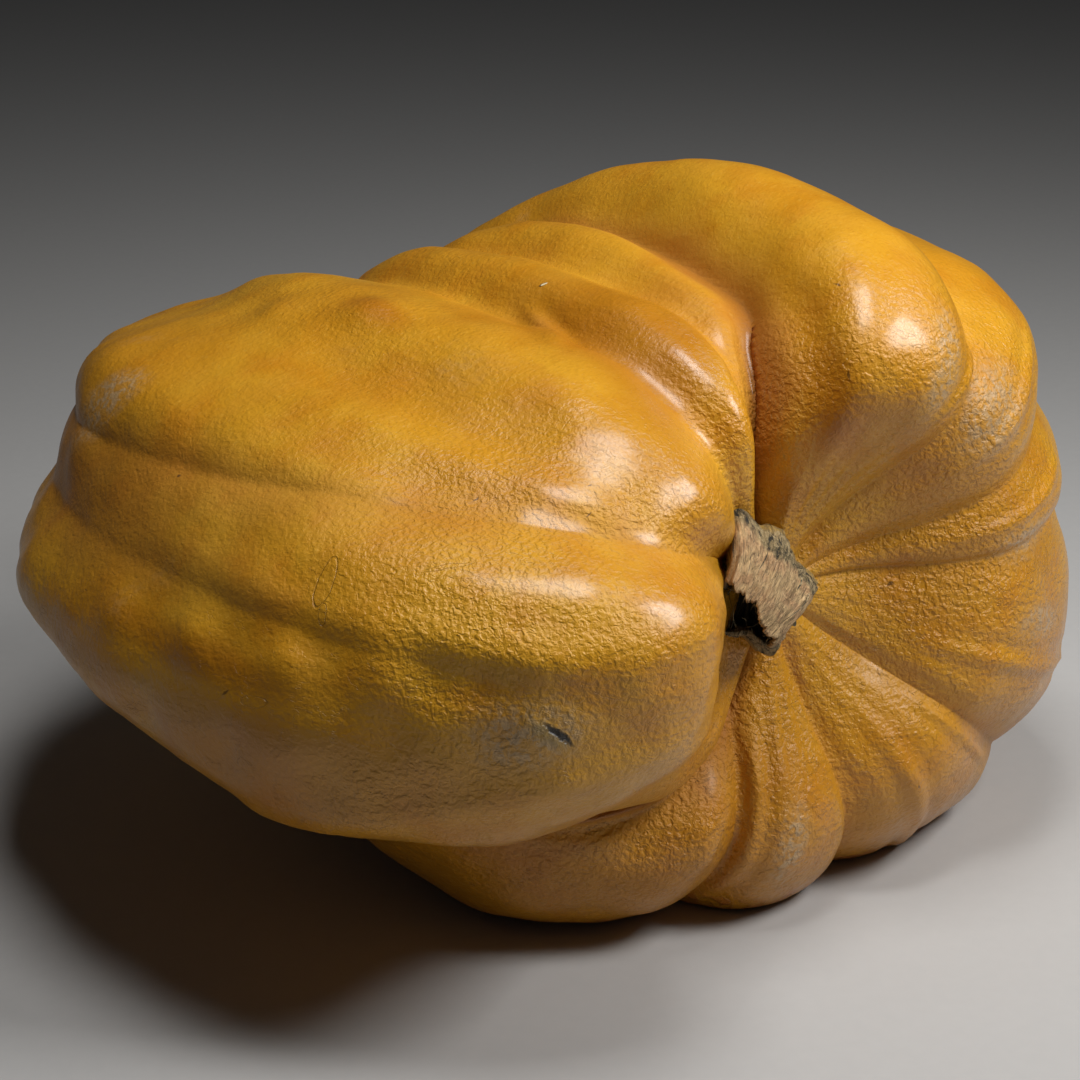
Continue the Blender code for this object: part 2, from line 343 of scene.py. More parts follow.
def crease_depth(azimuth, polar):
    """How far the rind is folded in at each point, all creases together."""
    depth = np.zeros_like(azimuth)
    for name, (_, depths, width, sharp, lip) in CREASES.items():
        off = degrees_off(azimuth, crease_path(name, polar))
        near = np.abs(off) / width
        fold = (1 - sharp) * np.exp(-(near**2)) + sharp * np.exp(-1.5 * near)
        depth = depth + np.maximum(three_way(depths, polar), 0.0) * fold
        depth = depth - lip * np.tanh(off / LIP_RISE) * np.exp(-((off / LIP_REACH) ** 2))
    return depth


def eased(value):
    """0 up to 0, 1 from 1, and a smooth rise in between."""
    t = np.clip(value, 0.0, 1.0)
    return t * t * (3 - 2 * t)


def settled(height):
    """Height above the ground: nothing on the flat spot, curving up all round it."""
    curve = (height + SETTLE) ** 2 / (4 * SETTLE)
    above = np.where(height > SETTLE, height, curve)
    return np.where(height < -SETTLE, 0.0, above)


def body_surface(azimuth, polar):
    """Points of the rind, x, y, z, for each azimuth and polar angle in radians."""
    s = np.sin(polar)
    c = np.cos(polar)
    reach, widest, front, back = (lobe_value(azimuth, column) for column in (1, 2, 3, 4))
    ahead = c > 0
    depth = crease_depth(azimuth, polar) * np.sqrt(s)
    radial = reach * np.where(ahead, s ** FRONT_ROUND[0], s ** BACK_ROUND[0]) - depth * s
    radial = np.maximum(radial, 0.0)
    along = np.where(
        ahead,
        widest - (front + widest) * np.abs(c) ** FRONT_ROUND[1],
        widest + (back - widest) * np.abs(c) ** BACK_ROUND[1],
    )
    along = along + depth * c
    cavity = (front + STEM_POLE[1]) * np.exp(-((radial / CAVITY_RADIUS) ** CAVITY_POWER))
    pit = (BLOSSOM_POLE[1] - back) * np.exp(-((radial / PIT_RADIUS) ** PIT_POWER))
    along = along + cavity * eased(c / HOLLOW_FADE) + pit * eased(-c / HOLLOW_FADE)
    share = ((1 - c) / 2) ** AXIS_BEND
    x = STEM_POLE[0] + (BLOSSOM_POLE[0] - STEM_POLE[0]) * share + radial * np.cos(azimuth)
    z = STEM_POLE[2] + (BLOSSOM_POLE[2] - STEM_POLE[2]) * share + radial * np.sin(azimuth)
    return np.stack([x, along, z], axis=-1)


# ------------------------------------------------------------------ the body's mesh


def polar_lines():
    """The polar angle of each ring, drawn towards the poles, with the poles left out."""
    t = np.linspace(0.0, 1.0, LINES_ALONG + 1)[1:-1]
    return math.pi * (t - POLE_CROWDING * np.sin(2 * math.pi * t))


def azimuth_lines(polar):
    """The azimuth of each line on one ring. Lines gather in the creases and follow them."""
    fine = np.radians(LINES_START + np.linspace(0.0, 360.0, 1441))
    crowd = np.ones_like(fine)
    for name in CREASES:
        off = degrees_off(fine, crease_path(name, polar))
        crowd = crowd + CREASE_CROWDING * np.exp(-((off / CROWDING_WIDTH) ** 2))
    share = np.concatenate([[0.0], np.cumsum((crowd[1:] + crowd[:-1]) / 2)])
    wanted = np.linspace(0.0, share[-1], LINES_AROUND, endpoint=False)
    return np.interp(wanted, share, fine)


def lattice_noise(points, size, seed):
    """Smooth noise from -1 to 1 with lumps of about this size in metres."""
    side = 32
    table = np.random.default_rng(seed).uniform(-1.0, 1.0, (side, side, side))
    cell = points / size + 100.0
    low = np.floor(cell).astype(int)
    part = eased(cell - low)
    total = np.zeros(points.shape[:-1])
    for corner in np.ndindex(2, 2, 2):
        index = (low + corner) % side
        weight = np.prod(np.where(corner, part, 1.0 - part), axis=-1)
        total = total + weight * table[index[..., 0], index[..., 1], index[..., 2]]
    return total


def grid_normals(points):
    """Outward normals of a grid whose rows are rings and whose columns close round."""
    around = np.roll(points, -1, axis=1) - np.roll(points, 1, axis=1)
    along = np.gradient(points, axis=0)
    normals = np.cross(along, around)
    length = np.linalg.norm(normals, axis=-1, keepdims=True)
    return -normals / np.maximum(length, 1e-12)


def rind_point(azimuth, polar):
    """One point of the smooth form, for an azimuth and a polar angle in degrees."""
    return body_surface(np.radians([[azimuth]]), np.radians([[polar]]))[0, 0]


def small_folds(points, azimuth, polar):
    """How far the small folds go in. Their width is in metres, so it is measured across them."""
    axis_distance = np.hypot(points[..., 0] - STEM_POLE[0], points[..., 2] - STEM_POLE[2])
    polar_now = np.degrees(polar)
    depth = np.zeros_like(azimuth)
    for azimuths, polars, deep, width in SMALL_FOLDS.values():
        t = (polar_now - polars[0]) / (polars[1] - polars[0])
        path = np.radians(azimuths[0] + (azimuths[1] - azimuths[0]) * np.clip(t, 0.0, 1.0))
        off = np.radians(degrees_off(azimuth, path)) * axis_distance
        fade = eased(t * 4.0) * eased((1.0 - t) * 3.0)
        depth = depth + deep * fade * np.exp(-((off / width) ** 2))
        depth = depth - 0.4 * deep * fade * np.exp(-(((np.abs(off) - 2 * width) / width) ** 2))
    return depth


def dents(points):
    depth = np.zeros(points.shape[:-1])
    for azimuth, polar, radius, deep in DENTS.values():
        away = np.linalg.norm(points - rind_point(azimuth, polar), axis=-1)
        depth = depth + deep * np.exp(-((away / radius) ** 2))
    return depth


def relief(points, azimuth, polar):
    """How far the rind stands out from its smooth form, in metres."""
    off = degrees_off(azimuth, math.radians(LOW_SIDE_AZIMUTH)) / LOW_SIDE_SPREAD
    low_side = np.exp(-(off**2))
    lumps = np.zeros_like(azimuth)
    for size, height, more, seed in LUMPS:
        lumps = lumps + (height + more * low_side) * lattice_noise(points, size, seed)
    lumps = lumps - small_folds(points, azimuth, polar) - dents(points)
    near_stem = np.exp(-((np.degrees(polar) / PLEAT_END) ** 2)) * eased(np.degrees(polar) / 8.0)
    wander = 2.5 * lattice_noise(points, 0.09, 14)
    pleats = PLEAT_HEIGHT * near_stem * np.cos(PLEATS * azimuth + wander)
    pleats = pleats * eased(0.35 + 0.9 * lattice_noise(points, 0.07, 15))
    return lumps * eased(np.sin(polar) * 3.0) + pleats


def finished_mesh(name, bm):
    bmesh.ops.recalc_face_normals(bm, faces=bm.faces)
    mesh = bpy.data.meshes.new(name)
    bm.to_mesh(mesh)
    bm.free()
    mesh.shade_smooth()
    return mesh


def grid_mesh(name, points, first, last):
    """A closed mesh from rings of points, with an end point before the first and after the last."""
    rings, around = points.shape[:2]
    bm = bmesh.new()
    rows = [[bm.verts.new(point) for point in ring] for ring in points]
    tips = bm.verts.new(first), bm.verts.new(last)
    for i in range(around):
        j = (i + 1) % around
        bm.faces.new((tips[0], rows[0][i], rows[0][j]))
        bm.faces.new((tips[1], rows[-1][j], rows[-1][i]))
        for k in range(rings - 1):
            bm.faces.new((rows[k][i], rows[k + 1][i], rows[k + 1][j], rows[k][j]))
    return finished_mesh(name, bm)


def point_values(mesh, name, values, first=0.0, last=0.0):
    """Stores a value for each point of a grid mesh, for its material to read."""
    attribute = mesh.attributes.new(name, "FLOAT", "POINT")
    whole = np.concatenate([values.reshape(-1), [first, last]]).astype(np.float32)
    attribute.data.foreach_set("value", whole)


def point_vectors(mesh, name, vectors, first, last):
    """The same for a vector: where a point is round the piece and along it, for its grain."""
    attribute = mesh.attributes.new(name, "FLOAT_VECTOR", "POINT")
    whole = np.concatenate([vectors.reshape(-1, 3), [first, last]]).astype(np.float32)
    attribute.data.foreach_set("vector", whole.reshape(-1))


def add_piece(name, mesh, material):
    piece = bpy.data.objects.new(name, mesh)
    bpy.context.scene.collection.objects.link(piece)
    mesh.materials.append(material)
    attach(piece, "root")
    return piece


def row_shift(points):
    """From the shape's own place to the row frame: the body's box middle goes over the CAD's."""
    low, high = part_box("fruit_body")
    middle = (points.reshape(-1, 3).min(axis=0) + points.reshape(-1, 3).max(axis=0)) / 2
    wanted = (np.array(low) + np.array(high)) / 2
    return np.array([wanted[0] - middle[0], wanted[1] - middle[1], 0.0])


def make_body():
    """Builds the rind and returns the move that takes the shape to the row frame."""
    polar = polar_lines()
    azimuth = np.stack([azimuth_lines(angle) for angle in polar])
    polar = np.repeat(polar[:, None], LINES_AROUND, axis=1)
    smooth = body_surface(azimuth, polar)
    shift = row_shift(smooth)
    points = smooth + grid_normals(smooth) * relief(smooth, azimuth, polar)[..., None]
    points[..., 2] = settled(points[..., 2])
    points = points + shift
    ends = np.array([STEM_POLE, BLOSSOM_POLE]) + shift
    mesh = grid_mesh("rind", points, ends[0], ends[1])
    # how deep each point lies in a fold: the rind's material paints shade into the folds with it, and
    # dulls them
    creased = crease_depth(azimuth, polar) + 2.5 * small_folds(smooth, azimuth, polar)
    point_values(mesh, "crease", eased(creased / 0.085))
    patchy = 0.75 + 0.45 * lattice_noise(smooth, 0.16, 21)
    near_stem = 1.0 - 0.7 * eased((np.degrees(polar) - 38.0) / 40.0)
    point_values(mesh, "pebbly", near_stem * patchy, 1.0, 0.3)
    run = np.cumsum(np.linalg.norm(np.diff(smooth, axis=0, prepend=smooth[:1]), axis=-1), axis=0)
    grain = np.stack([np.cos(azimuth), np.sin(azimuth), run], axis=-1)
    point_vectors(mesh, "grain", grain, (0.0, 0.0, 0.0), (0.0, 0.0, run.max()))
    body = add_piece("rind", mesh, rind_material(shift))
    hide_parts("fruit_body")
    return shift


# ------------------------------------------------------------------ the stem


def stem_place(azimuth, share, radius):
    """Points round the bent shaft. share is 0 at its foot and 1 at its tip."""
    rise = np.array(STEM_RISE)
    tip = np.array(STEM_TIP)
    u = np.clip(share, 0.0, 1.2)[..., None]
    start = np.array(STEM_POLE) + np.array(STEM_FOOT)
    heading = (1 - u) * rise + u * (tip - rise)
    heading = heading / np.linalg.norm(heading, axis=-1, keepdims=True)
    below = np.minimum(share, 0.0)[..., None] * np.linalg.norm(tip) * heading
    centre = start + 2 * u * (1 - u) * rise + u**2 * tip + below
    across = np.cross((0.0, 0.0, 1.0), heading)
    across = across / np.linalg.norm(across, axis=-1, keepdims=True)
    over = np.cross(heading, across)
    ring = across * np.cos(azimuth)[..., None] + over * np.sin(azimuth)[..., None]
    return centre + radius[..., None] * ring


def shell_length(azimuth):
    """1 on the long side of the torn shell and 0 on the short side."""
    return eased((np.cos(azimuth - math.radians(SHELL_MIDDLE)) - 0.05) / 0.40)


def round_noise(azimuth, share, around, along, seed):
    """Noise on the shaft, with lumps of these sizes in metres round it and along it."""
    length = np.linalg.norm(STEM_TIP)
    radius = STEM_MOUTH_RADIUS
    place = [radius * np.cos(azimuth), radius * np.sin(azimuth), share * length * around / along]
    return lattice_noise(np.stack(place, axis=-1), around, seed)


def stem_radius(azimuth, share):
    """The outside of the shaft: ribs flare out at the foot, and the bark is wrinkled."""
    narrow = (1.0 - np.clip(share, 0.0, 1.0)) ** 1.5
    ribs = np.zeros_like(azimuth)
    for rib, height in STEM_RIBS.items():
        off = degrees_off(azimuth, math.radians(rib)) / STEM_RIB_WIDTH
        ribs = ribs + height * np.exp(-(off**2))
    long_side = shell_length(azimuth)
    radius = STEM_MOUTH_RADIUS + (STEM_ROOT_RADIUS - STEM_MOUTH_RADIUS) * narrow
    ribs = ribs * (0.25 + 0.75 * narrow)
    radius = radius + ribs * (1.0 - 0.5 * long_side * np.clip(share, 0.0, 1.0))
    radius = radius - 0.004 * long_side * np.clip(share, 0.0, 1.2) ** 3
    wrinkles = 0.0026 * round_noise(azimuth, share, 0.013, 0.024, 31)
    wrinkles = wrinkles - 0.0024 * np.abs(round_noise(azimuth, share, 0.0055, 0.014, 32))
    wrinkles = wrinkles + 0.0010 * round_noise(azimuth, share, 0.0025, 0.009, 33)
    bark = 0.0022 * round_noise(azimuth, share, 0.0045, 0.0055, 38)
    return radius + wrinkles + bark * (1.0 - long_side * eased(share / 0.5))


def torn_edge(azimuth):
    """How far along the shaft the shell reaches at each azimuth, with teeth."""
    angles = list(SHELL_REACH)
    edge = np.interp(np.degrees(azimuth), angles, list(SHELL_REACH.values()), period=360.0)
    edge = edge + 0.055 * round_noise(azimuth, np.zeros_like(azimuth), 0.013, 1.0, 41)
    edge = edge + 0.045 * np.abs(round_noise(azimuth, np.zeros_like(azimuth), 0.0055, 1.0, 42))
    return edge + 0.022 * round_noise(azimuth, np.zeros_like(azimuth), 0.0024, 1.0, 43)


def stem_grid():
    """Rings from the root up the outside, over the torn edge and down into the hollow."""
    azimuth = np.radians(np.linspace(0.0, 360.0, STEM_AROUND, endpoint=False))
    edge = torn_edge(azimuth)
    shares, radii, depths = [], [], []
    for t in np.linspace(0.0, 1.0, STEM_OUTSIDE_ROWS):
        share = -STEM_ROOT_DEPTH + (edge + STEM_ROOT_DEPTH) * t
        shares.append(share)
        radii.append(stem_radius(azimuth, share))
        depths.append(np.zeros_like(share))
    outside = stem_radius(azimuth, edge)
    for t in (0.35, 0.7):
        shares.append(edge + 0.008)
        radii.append(outside - SHELL_WALL * t)
        depths.append(np.full_like(edge, 0.1))
    for t in np.linspace(0.0, 1.0, STEM_INSIDE_ROWS):
        share = edge - (edge - SHELL_FLOOR) * t
        wall = SHELL_WALL * (1.0 + 2.5 * t)
        rough = 0.0016 * round_noise(azimuth, share, 0.006, 0.03, 34)
        closing = np.sqrt(np.clip(1.0 - max(t - 0.8, 0.0) / 0.2, 0.02, 1.0))
        shares.append(share)
        radii.append((stem_radius(azimuth, share) - wall + rough) * closing)
        depths.append(np.full_like(edge, 0.2 + 0.8 * t))
    azimuth = np.repeat(azimuth[None, :], len(shares), axis=0)
    return azimuth, np.array(shares), np.array(radii), np.array(depths)


def make_stem(material, shift):
    azimuth, share, radius, depth = stem_grid()
    points = stem_place(azimuth, share, radius) + shift
    middle = np.zeros(1)
    first = stem_place(middle, middle - STEM_ROOT_DEPTH, middle)[0] + shift
    last = stem_place(middle, middle + SHELL_FLOOR, middle)[0] + shift
    mesh = grid_mesh("dry_stem", points, first, last)
    # how deep each point lies in the hollow; the stem's material paints shade there with it
    point_values(mesh, "hollow", eased(depth / 0.55), 0.0, 1.0)
    bare = shell_length(azimuth) * eased((share - 0.20) / 0.40)
    bare = bare + 0.45 * round_noise(azimuth, share, 0.016, 0.03, 35)
    bare = bare + 0.25 * round_noise(azimuth, share, 0.005, 0.02, 36)
    point_values(mesh, "bare_wood", eased((bare - 0.25) / 0.35))
    ground = share + 0.10 * round_noise(azimuth, share, 0.01, 0.02, 37)
    point_values(mesh, "foot", 1.0 - eased((ground - 0.02) / 0.10))
    grain = np.stack([np.cos(azimuth), np.sin(azimuth), share], axis=-1)
    point_vectors(mesh, "grain", grain, (0.0, 0.0, 0.0), (0.0, 0.0, 0.0))
    stem = add_piece("dry_stem", mesh, material)
    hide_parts("stem")


def add_tube(bm, path, radii, sides):
    """A closed tube of a few sides along a path."""
    path = np.array(path)
    headings = np.gradient(path, axis=0)
    rings = []
    for centre, heading, radius in zip(path, headings, radii):
        heading = heading / np.linalg.norm(heading)
        across = np.cross(heading, (0.31, 0.17, 0.93))
        across = across / np.linalg.norm(across)
        over = np.cross(heading, across)
        ring = []
        for angle in np.linspace(0.0, 2 * math.pi, sides, endpoint=False):
            outward = across * math.cos(angle) + over * math.sin(angle)
            ring.append(bm.verts.new(centre + radius * outward))
        rings.append(ring)
    for low, high in zip(rings, rings[1:]):
        for i in range(sides):
            j = (i + 1) % sides
            bm.faces.new((low[i], low[j], high[j], high[i]))
    bm.faces.new(rings[0][::-1])
    bm.faces.new(rings[-1])


def make_fibres(material, shift):
    """Frayed strands that stand in the hollow and hang at the torn edge."""
    random = np.random.default_rng(5)
    bm = bmesh.new()
    for index in range(FIBRES):
        azimuth = math.radians(random.uniform(0.0, 360.0))
        edge = torn_edge(np.array([azimuth]))[0]
        at_edge = index % 3 == 0
        foot_share = edge - random.uniform(0.08, 0.14) if at_edge else random.uniform(0.12, 0.4)
        tip_share = edge + random.uniform(0.01, 0.06) if at_edge else edge - random.uniform(-0.02, 0.25)
        foot_radius = stem_radius(np.array([azimuth]), np.array([foot_share]))[0] - 1.6 * SHELL_WALL
        lean = random.uniform(0.86, 0.99) if at_edge else random.uniform(0.45, 0.9)
        turn = math.radians(random.uniform(-26.0, 26.0))
        wave = random.uniform(-0.003, 0.003)
        t = np.linspace(0.0, 1.0, FIBRE_POINTS)
        radius = foot_radius * (1.0 - (1.0 - lean) * t**1.5) + wave * np.sin(t * 7.0)
        share = foot_share + (tip_share - foot_share) * t
        path = stem_place(azimuth + turn * t**2, share, radius) + shift
        thick = random.uniform(0.0006, 0.0013)
        add_tube(bm, path, thick * (1.0 - 0.75 * t), FIBRE_SIDES)
    add_piece("stem_fibres", finished_mesh("stem_fibres", bm), material)


def make_bark_curl(material, shift):
    """The flake of bark that has curled up at the right of the torn edge."""
    bm = bmesh.new()
    azimuth, share, radius = (np.array([value]) for value in CURL_PLACE)
    middle = stem_place(np.radians(azimuth), share, radius)[0] + shift
    turns = np.radians(np.linspace(*CURL_TURN, CURL_POINTS))
    radii = np.linspace(*CURL_RADIUS, CURL_POINTS)
    facing = math.radians(CURL_FACING)
    right = np.array((math.cos(facing), math.sin(facing), 0.0))
    up = np.array((0.0, 0.0, 1.0))
    path = []
    for turn, radius in zip(turns, radii):
        path.append(middle + radius * (math.cos(turn) * right + math.sin(turn) * up))
    add_tube(bm, path, np.linspace(*CURL_THICKNESS, CURL_POINTS), CURL_SIDES)
    add_piece("bark_curl", finished_mesh("bark_curl", bm), material)


# ------------------------------------------------------------------ materials


def new_material(name):
    """A new material, its node tree and its shader."""
    material = bpy.data.materials.new(name)
    material.use_nodes = True
    return material, material.node_tree, material.node_tree.nodes["Principled BSDF"]


def mix_colour(tree, factor, first, second):
    """A colour mix. Each colour is a socket or an (r, g, b)."""
    node = tree.nodes.new("ShaderNodeMix")
    node.data_type = "RGBA"
    node.clamp_factor = True
    sockets = (node.inputs[0], node.inputs[6], node.inputs[7])
    for socket, value in zip(sockets, (factor, first, second)):
        if isinstance(value, bpy.types.NodeSocket):
            tree.links.new(value, socket)
        elif isinstance(value, tuple):
            socket.default_value = (*value, 1.0)
        else:
            socket.default_value = value
    return node.outputs[2]


def painted(tree, colour, *coats):
    """A colour with coats laid over it. Each coat is a mask and its own colour."""
    for mask, paint in coats:
        colour = mix_colour(tree, mask, colour, paint)
    return colour


def maths(tree, operation, *values):
    node = tree.nodes.new("ShaderNodeMath")
    node.operation = operation
    for socket, value in zip(node.inputs, values):
        if isinstance(value, bpy.types.NodeSocket):
            tree.links.new(value, socket)
        else:
            socket.default_value = value
    return node.outputs[0]


def steps(tree, value, low, high, to_low=0.0, to_high=1.0):
    """A smooth rise from to_low at low to to_high at high."""
    node = tree.nodes.new("ShaderNodeMapRange")
    node.interpolation_type = "SMOOTHSTEP"
    for socket, number in zip(node.inputs[1:5], (low, high, to_low, to_high)):
        socket.default_value = number
    tree.links.new(value, node.inputs[0])
    return node.outputs[0]


def object_place(tree):
    """The object's own coordinates in metres."""
    return tree.nodes.new("ShaderNodeTexCoord").outputs["Object"]


def attribute(tree, name, output="Fac"):
    node = tree.nodes.new("ShaderNodeAttribute")
    node.attribute_name = name
    return node.outputs[output]


def stretched(tree, vector, stretch):
    mapping = tree.nodes.new("ShaderNodeMapping")
    mapping.inputs["Scale"].default_value = stretch
    tree.links.new(vector, mapping.inputs["Vector"])
    return mapping.outputs["Vector"]


def noise_texture(tree, vector, scale, detail=3.0, roughness=0.55, distortion=0.0):
    node = tree.nodes.new("ShaderNodeTexNoise")
    node.inputs["Scale"].default_value = scale
    node.inputs["Detail"].default_value = detail
    node.inputs["Roughness"].default_value = roughness
    node.inputs["Distortion"].default_value = distortion
    tree.links.new(vector, node.inputs["Vector"])
    return node.outputs["Fac"]


def bumped(tree, shader, *layers):
    """Gives a shader its bumps. Each layer is a height, and how many metres a height of 1 is."""
    target = shader.inputs["Normal"]
    for height, distance in reversed(layers):
        node = tree.nodes.new("ShaderNodeBump")
        node.inputs["Distance"].default_value = distance
        tree.links.new(height, node.inputs["Height"])
        tree.links.new(node.outputs["Normal"], target)
        target = node.inputs["Normal"]


def mark_frame(azimuth, polar, turn, shift):
    """A place on the rind and its axes: along the mark, across it and out of the rind."""
    centre = rind_point(azimuth, polar)
    along = rind_point(azimuth, polar + 1.0) - centre
    around = rind_point(azimuth + 1.0, polar) - centre
    outward = np.cross(around, along)
    outward = outward / np.linalg.norm(outward)
    along = along / np.linalg.norm(along)
    around = np.cross(along, outward)
    turn = math.radians(turn)
    first = Vector(math.cos(turn) * along + math.sin(turn) * around)
    third = Vector(outward)
    axes = Matrix((first, third.cross(first), third)).transposed()
    return Vector(centre + shift), axes.to_euler()


def distance_in_mark(tree, place, mark, shift):
    """How far out of a mark each point is: 0 at its middle, 1 at its edge."""
    azimuth, polar, turn, half_length, half_width = mark
    centre, angles = mark_frame(azimuth, polar, turn, shift)
    mapping = tree.nodes.new("ShaderNodeMapping")
    mapping.vector_type = "TEXTURE"
    mapping.inputs["Location"].default_value = centre
    mapping.inputs["Rotation"].default_value = angles
    mapping.inputs["Scale"].default_value = (half_length, half_width, MARK_THICKNESS)
    tree.links.new(place, mapping.inputs["Vector"])
    length = tree.nodes.new("ShaderNodeVectorMath")
    length.operation = "LENGTH"
    tree.links.new(mapping.outputs["Vector"], length.inputs[0])
    return length.outputs["Value"]


def any_of(tree, masks):
    whole = masks[0]
    for mask in masks[1:]:
        whole = maths(tree, "MAXIMUM", whole, mask)
    return whole


def spots(tree, place, marks, shift, outer, inner):
    """Where any of the marks is: 0 from outer, 1 within inner, as shares of the mark."""
    masks = []
    for mark in marks:
        masks.append(steps(tree, distance_in_mark(tree, place, mark, shift), outer, inner))
    return any_of(tree, masks)


def wobbled(tree, place, scale, reach):
    """The same coordinates, moved about a little, so that a mark's edge isn't a clean oval."""
    noise = tree.nodes.new("ShaderNodeTexNoise")
    noise.inputs["Scale"].default_value = scale
    noise.inputs["Detail"].default_value = 3.0
    tree.links.new(place, noise.inputs["Vector"])
    centred = tree.nodes.new("ShaderNodeVectorMath")
    centred.operation = "SUBTRACT"
    centred.inputs[1].default_value = (0.5, 0.5, 0.5)
    tree.links.new(noise.outputs["Color"], centred.inputs[0])
    moved = tree.nodes.new("ShaderNodeVectorMath")
    moved.operation = "MULTIPLY_ADD"
    moved.inputs[1].default_value = (reach, reach, reach)
    tree.links.new(centred.outputs["Vector"], moved.inputs[0])
    tree.links.new(place, moved.inputs[2])
    return moved.outputs["Vector"]


def height_above_ground(tree, place):
    apart = tree.nodes.new("ShaderNodeSeparateXYZ")
    tree.links.new(place, apart.inputs[0])
    return apart.outputs["Z"]


def rind_colour(tree, place, grain, shift):
    """Ochre skin, yellower and more orange in patches, with painted shade: darker orange-brown low
    down, in the folds and in the shade patches.
    """
    broad = noise_texture(tree, place, 4.5, 3.0)
    patches = noise_texture(tree, place, 13.0, 4.0)
    streaks = noise_texture(tree, stretched(tree, grain, (16.0, 16.0, 9.0)), 1.0, 4.0)
    grains = noise_texture(tree, place, 210.0, 3.0, 0.65)
    # painted shade in the shade patches
    deep = maths(tree, "MULTIPLY", spots(tree, place, SHADE_PATCHES.values(), shift, 1.4, 0.2), 0.65)
    # painted shade: the rind darker orange-brown towards the bottom
    low_shade = steps(tree, height_above_ground(tree, place), 0.42, 0.08, 0.0, 0.40)
    low_shade = maths(tree, "MULTIPLY", low_shade, steps(tree, broad, 0.30, 0.60, 0.7, 1.0))
    crease = attribute(tree, "crease")
    return painted(
        tree,
        mix_colour(tree, steps(tree, broad, 0.36, 0.66), SKIN["ochre"], SKIN["yellow"]),
        (steps(tree, patches, 0.45, 0.72, 0.0, 0.65), SKIN["orange"]),
        (steps(tree, streaks, 0.50, 0.75, 0.0, 0.25), SKIN["streak"]),
        (steps(tree, grains, 0.45, 0.25, 0.0, 0.45), SKIN["pore"]),
        (steps(tree, grains, 0.55, 0.80, 0.0, 0.45), SKIN["grain"]),
        (maths(tree, "MAXIMUM", deep, low_shade), SKIN["deep"]),
        # painted shade in the deep folds
        (steps(tree, crease, 0.25, 1.0, 0.0, 0.9), SKIN["crease"]),
    )


def haze_mask(tree, place, loose, shift):
    """Grey corky haze: a fine net of it, in patches."""
    drift = steps(tree, noise_texture(tree, place, 7.0, 4.0), 0.62, 0.80, 0.0, 0.35)
    mask = any_of(tree, [spots(tree, loose, HAZE.values(), shift, 1.2, 0.3), drift])
    net = steps(tree, noise_texture(tree, place, 125.0, 4.0, 0.6, 0.6), 0.42, 0.60, 0.15, 0.80)
    return maths(tree, "MULTIPLY", mask, net)


def ring_mask(tree, place, shift):
    """Thin scratched rings, on the edge of each mark."""
    rings = []
    for mark in RINGS.values():
        distance = distance_in_mark(tree, wobbled(tree, place, 60.0, 0.004), mark, shift)
        edge = maths(tree, "ABSOLUTE", maths(tree, "SUBTRACT", distance, 1.0))
        rings.append(steps(tree, edge, 0.09, 0.02))
    return any_of(tree, rings)


def scarred(tree, colour, place, loose, shift):
    """The healed slit, its cut painted near black as shade, the scratches and the specks. Returns the
    colour and their height.
    """
    cork = spots(tree, loose, [SLIT_CORK], shift, 1.0, 0.2)
    # the slit's cut, painted near black as shade
    cut = spots(tree, loose, [SLIT], shift, 1.0, 0.45)
    ring = ring_mask(tree, place, shift)
    speck = spots(tree, loose, SPECKS.values(), shift, 1.0, 0.4)
    seed = spots(tree, place, [SEED], shift, 1.0, 0.5)
    colour = painted(
        tree,
        colour,
        (maths(tree, "MULTIPLY", cork, 0.75), SKIN["cork"]),
        (cut, SKIN["cut"]),
        (maths(tree, "MULTIPLY", ring, 0.18), SKIN["ring"]),
        (maths(tree, "MULTIPLY", speck, 0.85), SKIN["speck"]),
        (seed, SKIN["seed"]),
    )
    height = maths(tree, "SUBTRACT", maths(tree, "MULTIPLY", cork, 0.35), cut)
    height = maths(tree, "SUBTRACT", height, maths(tree, "MULTIPLY", ring, 0.15))
    return colour, maths(tree, "ADD", height, maths(tree, "MULTIPLY", seed, 0.6))


def skin_bumps(tree, shader, place, grain, scars, chips):
    """Pebbles near the stem, ripples and fine cracks on the low half, and every mark's height."""
    pebbles = noise_texture(tree, place, 190.0, 2.0, 0.5, 0.3)
    pebbles = maths(tree, "MULTIPLY", steps(tree, pebbles, 0.30, 0.70), attribute(tree, "pebbly"))
    low_half = steps(tree, height_above_ground(tree, place), 0.44, 0.16, 0.15, 1.0)
    wide = stretched(tree, wobbled(tree, place, 30.0, 0.012), (1.0, 1.0, 3.4))
    ripples = maths(tree, "MULTIPLY", noise_texture(tree, wide, 52.0, 4.0, 0.6), low_half)
    line = maths(tree, "SUBTRACT", noise_texture(tree, wide, 34.0, 2.0), 0.5)
    line = steps(tree, maths(tree, "ABSOLUTE", line), 0.0, 0.012)
    patchy = steps(tree, noise_texture(tree, place, 38.0, 2.0), 0.50, 0.58)
    cracks = maths(tree, "MULTIPLY", maths(tree, "MULTIPLY", line, patchy), low_half)
    lengthwise = noise_texture(tree, stretched(tree, grain, (30.0, 30.0, 22.0)), 1.0, 3.0)
    bumped(
        tree,
        shader,
        (noise_texture(tree, place, 40.0, 3.0), 0.0007),
        (lengthwise, 0.0008),
        (ripples, 0.0010),
        (cracks, 0.0007),
        (pebbles, 0.0015),
        (noise_texture(tree, place, 420.0, 3.0), 0.0004),
        (scars, 0.0045),
        (chips, 0.003),
    )


